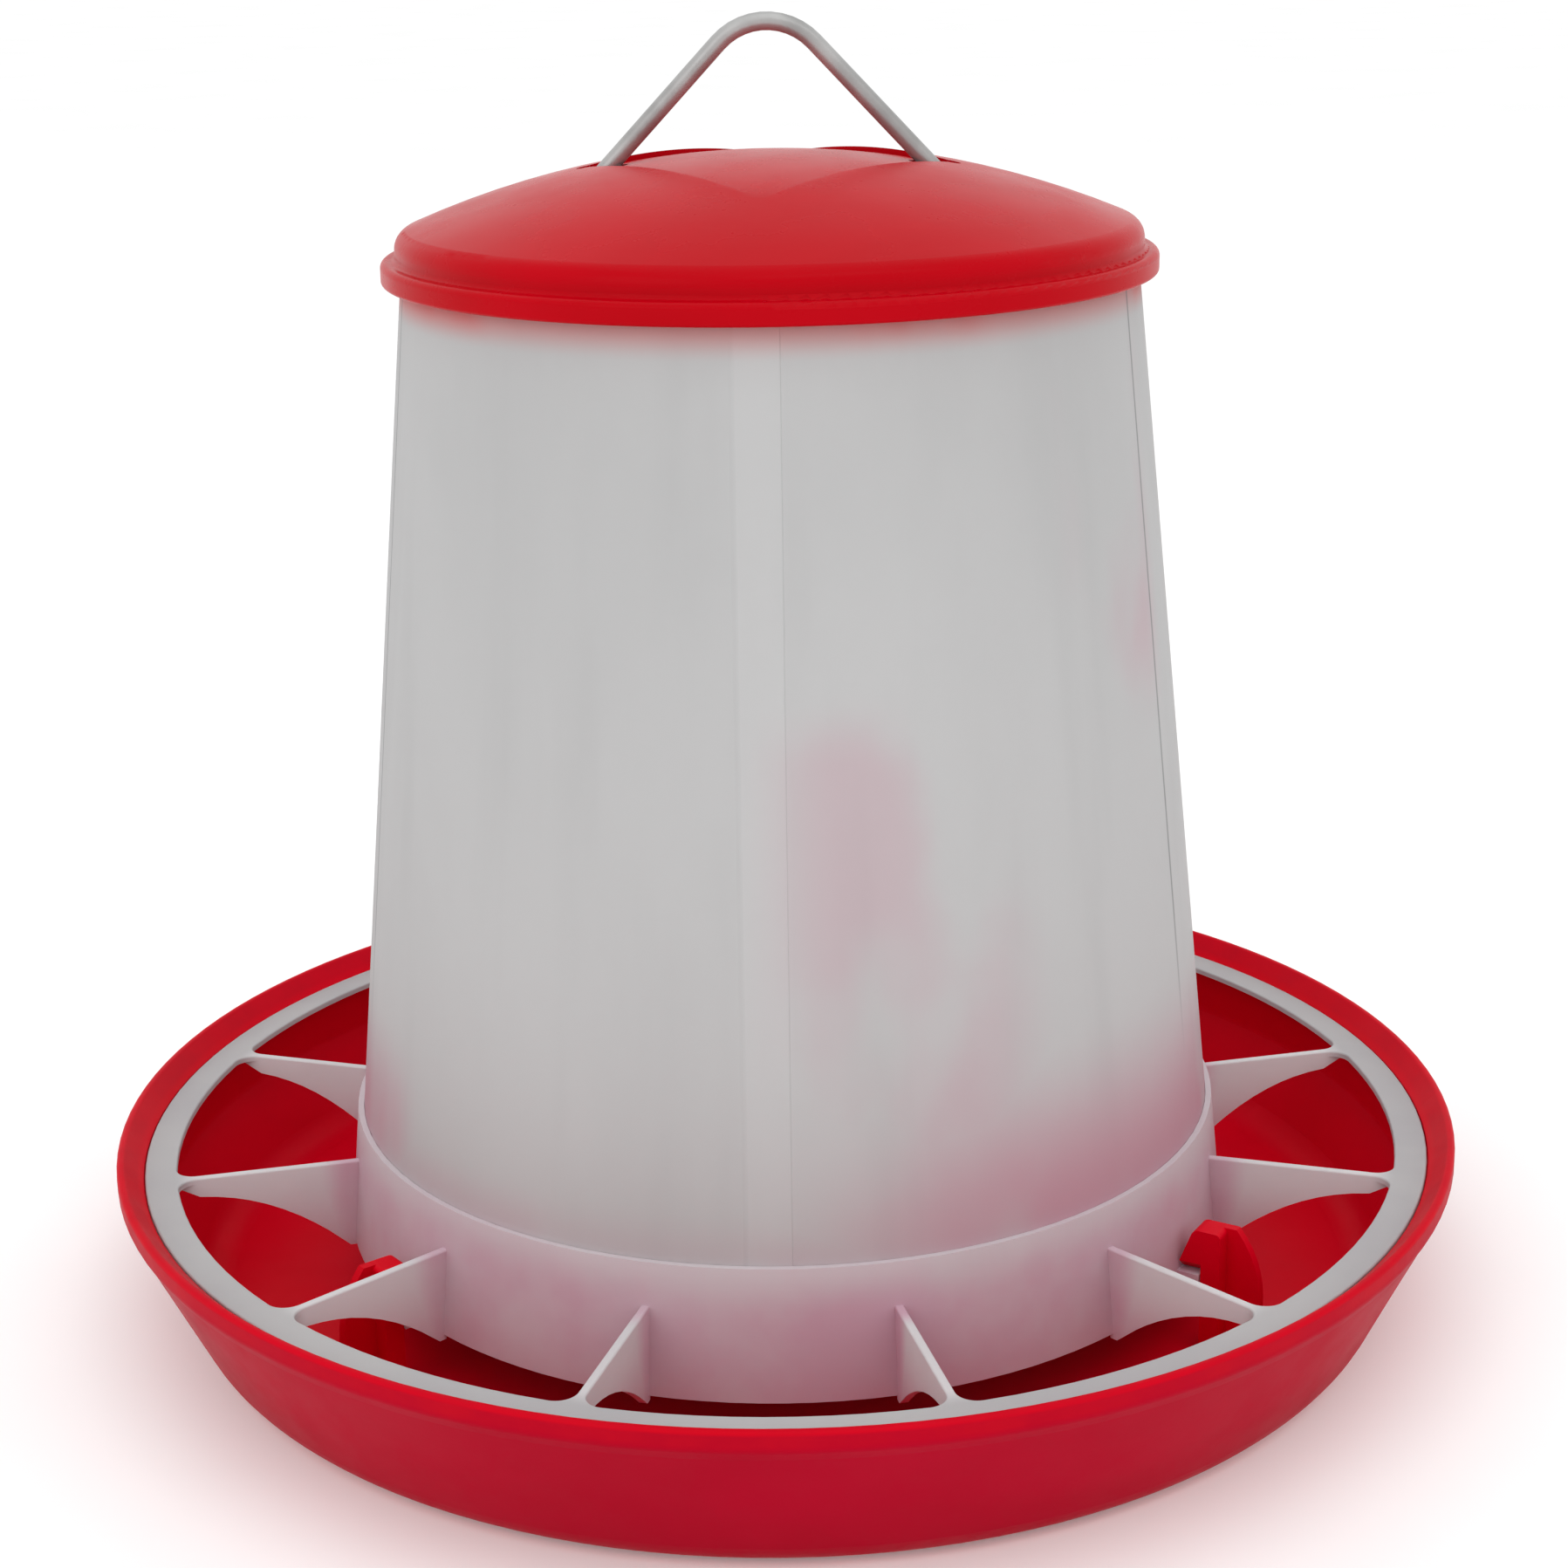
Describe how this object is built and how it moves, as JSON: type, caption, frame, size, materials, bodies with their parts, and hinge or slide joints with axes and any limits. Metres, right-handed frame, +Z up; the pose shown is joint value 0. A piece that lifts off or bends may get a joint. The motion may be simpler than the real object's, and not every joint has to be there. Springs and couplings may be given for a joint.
{
  "type": "poultry feeder",
  "caption": "Hanging feeder for poultry: tapered hopper on a round tray, radial grid dividing the tray into feeding places, domed lid and wire hanger.",
  "frame": {"origin": "middle of the tray's underside, on the floor", "axes": "+Z up along the hopper's axis; -Y is the front, where the hopper's lapped seam is; X lies in the hanger's plane"},
  "size_m": [0.36, 0.36, 0.3343],
  "materials": {
    "tray_plastic": "satin red moulding",
    "lid_plastic": "glossy red moulding",
    "grid_plastic": "satin white moulding",
    "hopper_sheet": "milky translucent sheet",
    "zinc_wire": "bright zinc-plated wire"
  },
  "bodies": {
    "root": {"feed_tray": "tray_plastic", "feed_grid": "grid_plastic", "hopper": "hopper_sheet", "lid": "lid_plastic", "bail_handle": "zinc_wire"}
  },
  "joints": []
}
